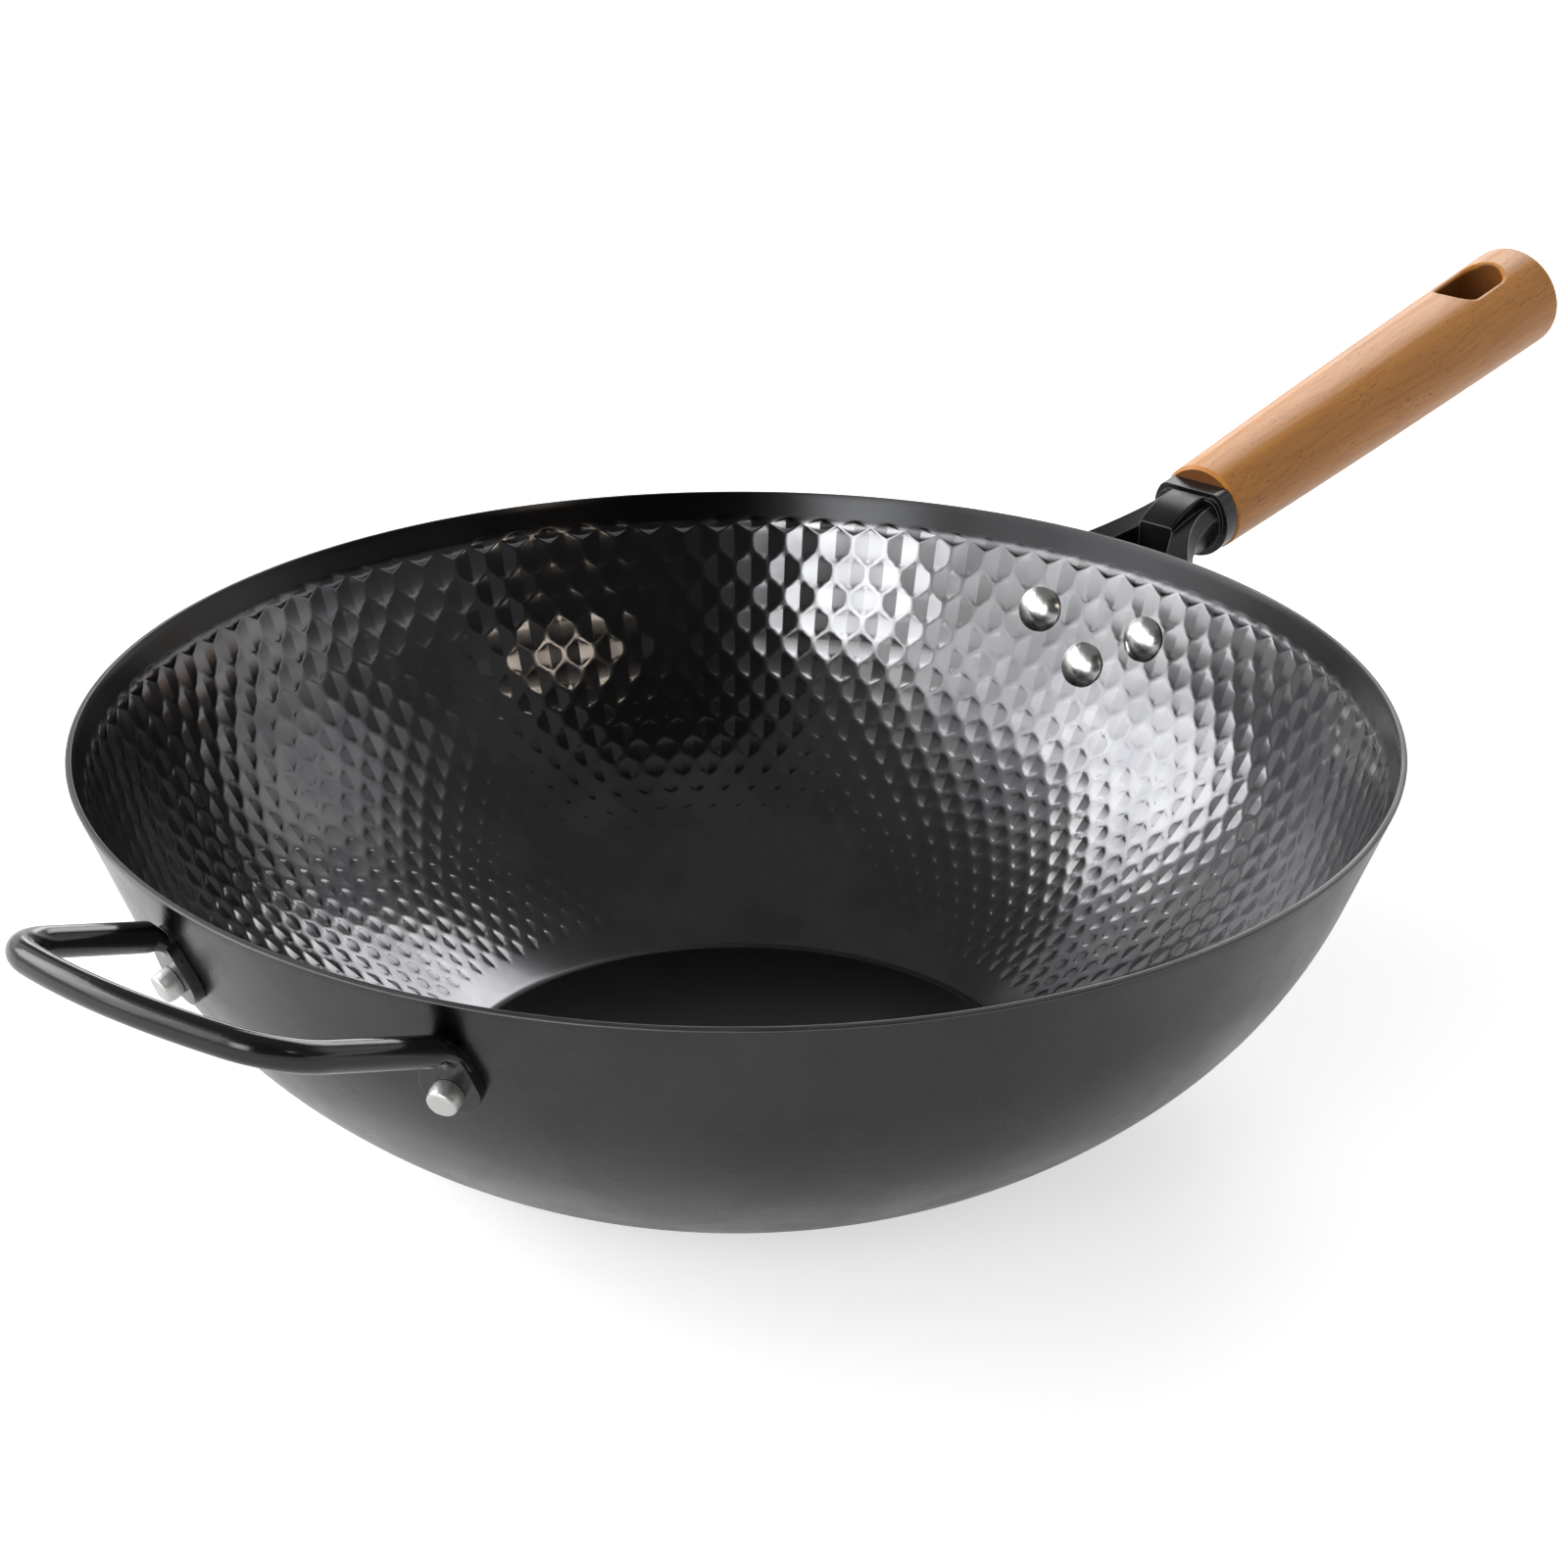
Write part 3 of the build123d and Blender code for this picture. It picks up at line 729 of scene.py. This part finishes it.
# The grey on the collar's edges is a painted highlight along them, with a little wear.
collar_wear_and_highlight = (0.16, 0.16, 0.16)
black_collar, tree, shader = new_material("black_collar", collar_black, metallic=0.0, roughness=0.3)
skin_grain = use_grain(tree, size=0.0004, detail=2.0)
wear_and_highlight, rounded = use_edges(tree, width=0.0004, start=0.03, end=0.22)
feed(
    tree, shader,
    Base_Color=blend_colours(tree, wear_and_highlight, collar_black, collar_wear_and_highlight),
    Roughness=vary(tree, skin_grain, low=0.21, high=0.29),
    Normal=relief(tree, skin_grain, depth=0.000008, under=rounded),
)
shader.inputs["Specular IOR Level"].default_value = 0.4
finish_node("ferrule", black_collar)

# Wooden handle: one turned and lacquered length of beech, with a hang slot near the tail. Short
# dark flecks lie along the grain, and the cut ends have drunk more lacquer and are darker. The
# inside of the hang slot is darker all over.
grip_reach = 0.041
grip_drop = 0.003
grip_tilt = radians(6.7)
slot_from = 0.128
slot_skin = 0.0008
slot_blur = 0.002
grip_middle_radius = 0.0146
skin_blur = 0.0002
pith_aside = 0.055
pith_below = 0.022
rings_per_metre = 420.0
ring_wander = 7.0
band_share = 0.55
ring_share = 0.22
fibre_share = 0.36
fleck_strength = 0.75
fleck_blur = 0.06
fibre_pore_share = 0.5
pore_depth = 0.00001
beech_pale = (0.600, 0.242, 0.036)
beech_warm = (0.430, 0.166, 0.028)
beech_fleck = (0.170, 0.066, 0.020)
beech_end = (0.165, 0.056, 0.011)
beech, tree, shader = new_material("beech", beech_pale, metallic=0.0, roughness=0.42)
front_x = rim_radius + grip_reach
front_z = rim_height - grip_drop
along_grip = front_x * cos(grip_tilt) + front_z * sin(grip_tilt)
above_grip = front_z * cos(grip_tilt) - front_x * sin(grip_tilt)
in_wood = add_node(tree, "ShaderNodeMapping", {"vector_type": "POINT"}, {
    "Vector": place_in(tree),
    "Rotation": (0, grip_tilt, 0),
    "Location": (-along_grip, 0, -above_grip),
}).outputs[0]


def wood_noise(stretch, detail):
    """Noise in the wood, with its own number of changes per metre along and across the grain."""
    stretched = add_node(
        tree, "ShaderNodeMapping", {"vector_type": "POINT"}, {"Vector": in_wood, "Scale": stretch}
    )
    inputs = {"Vector": stretched.outputs[0], "Scale": 1.0, "Detail": detail, "Roughness": 0.5}
    return add_node(tree, "ShaderNodeTexNoise", {}, inputs).outputs[0]


bands = wood_noise(stretch=(9, 130, 130), detail=3)
fibres = wood_noise(stretch=(70, 2200, 2200), detail=2)
flecks = wood_noise(stretch=(330, 2100, 2100), detail=1)
fleck_share = wood_noise(stretch=(25, 160, 160), detail=2)
grip_x, grip_y, grip_z = split(tree, in_wood)
from_pith = length(
    tree, work_out(tree, "ADD", grip_y, pith_aside), work_out(tree, "ADD", grip_z, pith_below)
)
wander = work_out(tree, "MULTIPLY", wood_noise(stretch=(14, 60, 60), detail=2), ring_wander)
ring_turns = work_out(tree, "MULTIPLY_ADD", from_pith, rings_per_metre, wander)
ring_wave = work_out(tree, "SINE", work_out(tree, "MULTIPLY", ring_turns, 2 * pi))
rings_seen = mask(tree, ring_wave, start=0.2, end=1.0)
fibres_seen = mask(tree, fibres, start=0.35, end=0.7)
warmth = work_out(tree, "MULTIPLY", fibres_seen, fibre_share)
warmth = work_out(tree, "MULTIPLY_ADD", rings_seen, ring_share, warmth)
warmth = work_out(tree, "MULTIPLY_ADD", vary(tree, bands, low=0.0, high=1.0), band_share, warmth)
fleck_start = spread(tree, fleck_share, low=0.72, high=0.60, from_low=0.35, from_high=0.7)
fleck_mask = add_node(tree, "ShaderNodeMapRange", {}, {
    "Value": flecks,
    "From Min": fleck_start,
    "From Max": work_out(tree, "ADD", fleck_start, fleck_blur),
}).outputs["Result"]
fleck_mask = work_out(tree, "MULTIPLY", fleck_mask, fleck_strength)
along_normal = add_node(tree, "ShaderNodeVectorMath", {"operation": "DOT_PRODUCT"}, {
    0: tree.nodes.new("ShaderNodeNewGeometry").outputs["Normal"],
    1: (cos(grip_tilt), 0, sin(grip_tilt)),
}).outputs["Value"]
cut_across = mask(tree, work_out(tree, "ABSOLUTE", along_normal), start=0.72, end=0.95)
from_middle = length(tree, grip_y, grip_z)
deep = spread(
    tree, from_middle, 1.0, 0.0, grip_middle_radius - slot_skin, grip_middle_radius + skin_blur
)
near_tail = mask(tree, grip_x, slot_from, slot_from + slot_blur)
# Faces across the grain and the whole inside of the hang slot take the dark end tone.
cut_ends_and_slot = work_out(tree, "MAXIMUM", cut_across, work_out(tree, "MULTIPLY", deep, near_tail))
end_grain = use_grain(tree, size=0.0004, detail=2.0)
end_specks = spread(tree, end_grain, low=0.0, high=0.6, from_low=0.4, from_high=0.7)
end_tone = blend_colours(tree, end_specks, beech_end, beech_fleck)
wood_tone = blend_colours(tree, warmth, beech_pale, beech_warm)
wood_tone = blend_colours(tree, fleck_mask, wood_tone, beech_fleck)
pores = work_out(tree, "SUBTRACT", 1.0, fleck_mask)
pores = work_out(tree, "MULTIPLY_ADD", fibres, fibre_pore_share, pores)
feed(
    tree, shader,
    Base_Color=blend_colours(tree, cut_ends_and_slot, wood_tone, end_tone),
    Roughness=vary(tree, fibres, low=0.36, high=0.46),
    Normal=relief(tree, pores, pore_depth),
)
shader.inputs["Coat Weight"].default_value = 0.18
shader.inputs["Coat Roughness"].default_value = 0.16
shader.inputs["Specular IOR Level"].default_value = 0.25
finish_node("wood_handle", beech)

# Tie rod, washer and nut: zinc-plated steel. The threaded rod runs from the bracket through the
# ferrule and the wood, and the nut on its washer draws them tight at the end of the hang slot.
zinc_colour = (0.50, 0.50, 0.48)
zinc_dull = (0.36, 0.36, 0.35)
plated_steel, tree, shader = new_material("plated_steel", zinc_colour, metallic=1.0, roughness=0.34)
spangle = use_grain(tree, size=0.0015, detail=4.0)
dull = mask(tree, spangle, start=0.4, end=0.65)
rounded = use_edges(tree, width=0.0002, start=0.05, end=0.3)[1]
feed(
    tree, shader,
    Base_Color=blend_colours(tree, dull, zinc_colour, zinc_dull),
    Roughness=vary(tree, spangle, low=0.28, high=0.42),
    Normal=rounded,
)
for name in ("tie_rod", "tie_washer", "tie_nut"):
    finish_node(name, plated_steel)

# Helper handle: a round steel bar bent to a U and enamelled gloss black. Both ends are pressed
# flat and bent down, and a tab of each lies on the wall under its rivet.
enamel_black = (0.008, 0.008, 0.0085)
enamel_worn = (0.035, 0.035, 0.036)
dust_share = 0.02
gloss_black_bar, tree, shader = new_material(
    "gloss_black_bar", enamel_black, metallic=0.0, roughness=0.24
)
ripple = use_grain(tree, size=0.004, detail=2.0)
dust = use_grain(tree, size=0.0005, detail=3.0)
wear_and_highlight, rounded = use_edges(tree, width=0.0004, start=0.06, end=0.4)
surface = work_out(tree, "MULTIPLY_ADD", dust, dust_share, ripple)
feed(
    tree, shader,
    Base_Color=blend_colours(tree, wear_and_highlight, enamel_black, enamel_worn),
    Roughness=vary(tree, dust, low=0.13, high=0.19),
    Normal=relief(tree, surface, depth=0.00003, under=rounded),
)
finish_node("helper_handle", gloss_black_bar)

# Helper rivets: soft aluminium, with a low domed head inside the bowl. Outside, the shank is
# hammered down cold on the tab to a tall blunt tail with a dented face and rounded edge.
soft_shank_radius = 0.0024
soft_head_radius = 0.0056
soft_head_edge = 0.0005
soft_head_height = 0.0026
soft_tail_radius = 0.0038
soft_tail_height = 0.0046
soft_tail_edge = 0.0009
tab_thickness = 0.003
seat_gap = 0.0001
tail_bulge = 1.03
tail_end_share = 0.98
dent_depth = 0.00013
dent_size = 0.0021
small_dent_share = 0.6
small_dents_per_dent = 2.7
dent_offset = 7
rivet_sides = 96
innermost_share = 0.06
face_rings = 14
tail_rings = 12
edge_rings = 9
sharp_angle = radians(50)


def rivet_profile():
    """Distances from the axis and heights over the wall, from the head's crown to the tail's."""
    wall_radius = float(wall_section(helper_rivet_drop, 0)[0])
    under_head = -(sheet + soft_head_radius ** 2 / (2 * wall_radius) + seat_gap)
    dome_depth = soft_head_height - soft_head_edge
    dome_radius = (soft_head_radius ** 2 + dome_depth ** 2) / (2 * dome_depth)
    foot = seat_gap + tab_thickness + seat_gap
    top = foot + soft_tail_height
    profile = []
    for share in np.linspace(innermost_share, 1, face_rings):
        radius = soft_head_radius * share
        rise = dome_radius - sqrt(dome_radius ** 2 - radius ** 2)
        profile.append((radius, under_head - soft_head_height + rise))
    profile.append((soft_head_radius, under_head))
    profile.append((soft_shank_radius, under_head))
    profile.append((soft_shank_radius, foot))
    for share in np.linspace(0, 1, tail_rings):
        bulge = tail_bulge - (tail_bulge - tail_end_share) * (2 * share - 1) ** 2
        height = foot + (soft_tail_height - soft_tail_edge) * share
        profile.append((soft_tail_radius * bulge, height))
    end_radius = soft_tail_radius * tail_end_share
    for turn in np.linspace(0, pi / 2, edge_rings)[1:]:
        radius = end_radius - soft_tail_edge * (1 - cos(turn))
        profile.append((radius, top - soft_tail_edge * (1 - sin(turn))))
    for share in np.linspace(1, innermost_share, face_rings)[1:]:
        profile.append(((end_radius - soft_tail_edge) * share, top))
    return profile


def make_rivet(name, azimuth, finish):
    """Rivet in its place on the wall, with the tail dented more and more towards its face."""
    turns = 2 * pi * np.arange(rivet_sides) / rivet_sides
    rings = [
        np.stack([radius * np.cos(turns), radius * np.sin(turns), 0 * turns + height], -1)
        for radius, height in rivet_profile()
    ]
    body = Skin()
    body.add_rings(rings, 0)
    for ring in (rings[0], rings[-1]):
        body.add(ring, [list(range(rivet_sides))], 0)
    piece = body.build(name, [finish])
    tail_foot = 2 * seat_gap + tab_thickness
    shape = bmesh.new()
    shape.from_mesh(piece.data)
    shape.normal_update()
    for point in shape.verts:
        share = min(1, max(0, (point.co.z - tail_foot) / soft_tail_height))
        away = Vector((cos(azimuth), sin(azimuth), 0)) * dent_offset
        wide = noise.noise(point.co / dent_size + away)
        small = noise.noise(point.co / dent_size * small_dents_per_dent + away)
        point.co += point.normal * dent_depth * share * (wide + small_dent_share * small)
    shape.to_mesh(piece.data)
    shape.free()
    piece.data.transform(wall_place(azimuth, helper_rivet_drop))
    piece.data.set_sharp_from_angle(angle=sharp_angle)
    return piece


aluminium_colour = (0.60, 0.60, 0.59)
fine_share = 0.25
soft_rivet, tree, shader = new_material(
    "soft_rivet", aluminium_colour, metallic=1.0, roughness=0.42
)
dents = use_grain(tree, size=0.0009, detail=4.0)
fine = use_grain(tree, size=0.00025, detail=2.0)
surface = work_out(tree, "MULTIPLY_ADD", fine, fine_share, dents)
feed(
    tree, shader,
    Roughness=vary(tree, fine, low=0.36, high=0.54),
    Normal=relief(tree, surface, depth=0.00012),
)
for side, azimuth in (("left", pi - helper_turn), ("right", pi + helper_turn)):
    rivet = make_rivet(f"helper_rivet_{side}_hammered", azimuth, soft_rivet)
    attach(rivet, "root")
    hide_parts(f"helper_rivet_{side}")

# Studio: a white floor that glows for the camera and in mirrors, a white surround that darkens
# overhead, softboxes that are brightest in their middle, and a black card behind the camera that
# keeps the middle of the far wall dark.
floor_reach = 6
floor_gap = 0.0005
floor_white = (0.75, 0.75, 0.75)
floor_near_glow = 0.62
floor_far_glow = 1.0
floor_glow_start = 0.3
floor_glow_end = 0.9
floor_mirrored_glow = 0.28
overhead_light = 0.15
horizon_top = radians(8)
horizon_fade = radians(14)
photo_width = 1600
focal_length = 4450
sensor_width = 36
nearest_seen = 0.01
view_distance = 1.0809
view_elevation = radians(23.473)
view_azimuth = radians(-90 - 50.605)
turn_right = 0.0107
turn_up = -0.01374
roll_clockwise = 0.0013


def toward(azimuth, elevation):
    """Direction counted in degrees from the camera's side, to the photograph's right and up."""
    heading = view_azimuth + radians(azimuth)
    rise = radians(elevation)
    return Vector((cos(heading) * cos(rise), sin(heading) * cos(rise), sin(rise)))


def stage_sheet(name, corners, paint):
    """Flat four-cornered sheet that belongs to the studio."""
    mesh = bpy.data.meshes.new(name)
    mesh.from_pydata(corners, [], [(0, 1, 2, 3)])
    mesh.materials.append(paint)
    sheet_object = bpy.data.objects.new(name, mesh)
    bpy.context.scene.collection.objects.link(sheet_object)
    return sheet_object


floor_paint, tree, shader = new_material("floor_paint", floor_white, metallic=0.0, roughness=0.9)
path = tree.nodes.new("ShaderNodeLightPath")
in_mirror = work_out(
    tree, "MAXIMUM", path.outputs["Is Glossy Ray"], path.outputs["Is Transmission Ray"]
)
from_wok = length(tree, *split(tree, place_in(tree))[:2])
seen_glow = spread(
    tree, from_wok, floor_near_glow, floor_far_glow, floor_glow_start, floor_glow_end
)
mirrored_glow = work_out(tree, "MULTIPLY", in_mirror, floor_mirrored_glow)
glow = work_out(tree, "MULTIPLY_ADD", path.outputs["Is Camera Ray"], seen_glow, mirrored_glow)
shader.inputs["Emission Color"].default_value = (1, 1, 1, 1)
tree.links.new(glow, shader.inputs["Emission Strength"])
floor_corners = [
    (floor_reach * side_x, floor_reach * side_y, -floor_gap)
    for side_x, side_y in ((-1, -1), (1, -1), (1, 1), (-1, 1))
]
stage_sheet("floor", floor_corners, floor_paint)

world = bpy.data.worlds.new("surround")
bpy.context.scene.world = world
world.use_nodes = True
tree = world.node_tree
upward = split(tree, place_in(tree, "Generated"))[2]
dimmed = spread(tree, upward, 1.0, overhead_light, sin(horizon_top), sin(horizon_fade))
tree.links.new(dimmed, tree.nodes["Background"].inputs["Strength"])
tree.nodes["Background"].inputs["Color"].default_value = (1, 1, 1, 1)


cover_middle = 0.1
cover_rim = 0.6


def softbox(
    name, azimuth, elevation, distance, width, height, radiance, rim_share, colour=(1, 1, 1)
):
    """Lamp that faces the wok. Its width and height are in degrees, as seen from the wok."""
    light = bpy.data.lights.new(name, "AREA")
    light.shape = "RECTANGLE"
    light.size = 2 * distance * tan(radians(width / 2))
    light.size_y = 2 * distance * tan(radians(height / 2))
    light.energy = radiance * pi * light.size * light.size_y
    light.color = colour
    light.use_nodes = True
    tree = light.node_tree
    place = split(tree, tree.nodes.new("ShaderNodeNewGeometry").outputs["Parametric"])
    sideways, upright = (work_out(tree, "SUBTRACT", place[index], 0.5) for index in (0, 1))
    from_middle = length(tree, sideways, upright)
    brightness = spread(tree, from_middle, 1.0, rim_share, cover_middle, cover_rim)
    tree.links.new(brightness, tree.nodes["Emission"].inputs["Strength"])
    lamp = bpy.data.objects.new(name, light)
    bpy.context.scene.collection.objects.link(lamp)
    direction = toward(azimuth, elevation)
    lamp.location = direction * distance + Vector((0, 0, rim_height / 2))
    lamp.rotation_euler = direction.to_track_quat("Z", "Y").to_euler()
    lamp.visible_camera = False


# Azimuth, elevation, distance, width, height, radiance, and the share of it left at the rim.
lamps = {
    "key_softbox": (-110, 29, 1.6, 32, 31, 6.1, 0.62),
    "key_side": (-87, 29, 1.65, 13, 31, 4.6, 0.7),
    "left_panel": (-139, 26, 1.9, 22, 32, 0.85, 0.7),
    "side_panel": (-73.5, 28, 1.9, 14, 38, 3.5, 0.7),
    "side_panel_far": (-56.5, 30, 2.0, 20, 34, 2.8, 0.6),
    "side_panel_end": (-41, 29, 2.2, 11, 32, 1.3, 0.7),
    "front_softbox": (-25.5, 26, 1.6, 20, 27, 7.4, 0.45),
    "overhead_panel": (-76, 52, 1.9, 60, 18, 0.8, 0.1),
    "back_softbox": (160, 35, 1.7, 34, 31, 5.2, 0.6),
    "back_panel": (182, 10, 2.2, 26, 12, 3.0, 0.8),
    "right_panel": (110, 28, 2.0, 44, 38, 0.85, 0.12),
}
for name, lamp_values in lamps.items():
    softbox(name, *lamp_values)
warm_colour = (1.0, 0.86, 0.7)
softbox("warm_lamp", 41, 36.5, 1.6, 8, 7, 5.2, 0.6, warm_colour)

card_black = (0.02, 0.02, 0.02)
card_distance = 2.2
card_from = -9
card_to = 50
card_foot = 0.35
card_top = 5.0
card_paint, tree, shader = new_material("card_paint", card_black, metallic=0.0, roughness=0.9)
left = toward(card_from, 0) * card_distance
right = toward(card_to, 0) * card_distance
card_corners = [
    (left.x, left.y, card_foot),
    (right.x, right.y, card_foot),
    (right.x, right.y, card_top),
    (left.x, left.y, card_top),
]
card = stage_sheet("black_card", card_corners, card_paint)
card.visible_camera = False

camera_data = bpy.data.cameras.new("photo_camera")
camera_data.lens = sensor_width * focal_length / photo_width
camera_data.sensor_width = sensor_width
camera_data.clip_start = nearest_seen
camera = bpy.data.objects.new("photo_camera", camera_data)
bpy.context.scene.collection.objects.link(camera)
bpy.context.scene.camera = camera
level = cos(view_elevation)
back = Vector((cos(view_azimuth) * level, sin(view_azimuth) * level, sin(view_elevation)))
right = Vector((0, 0, 1)).cross(back).normalized()
up = back.cross(right)
facing = Matrix((right, up, back)).transposed()
facing = facing @ Matrix.Rotation(-turn_right, 3, "Y") @ Matrix.Rotation(turn_up, 3, "X")
facing = facing @ Matrix.Rotation(-roll_clockwise, 3, "Z")
stand = back * view_distance + Vector((0, 0, rim_height))
camera.matrix_world = Matrix.Translation(stand) @ facing.to_4x4()

bpy.context.scene.view_settings.view_transform = "Standard"
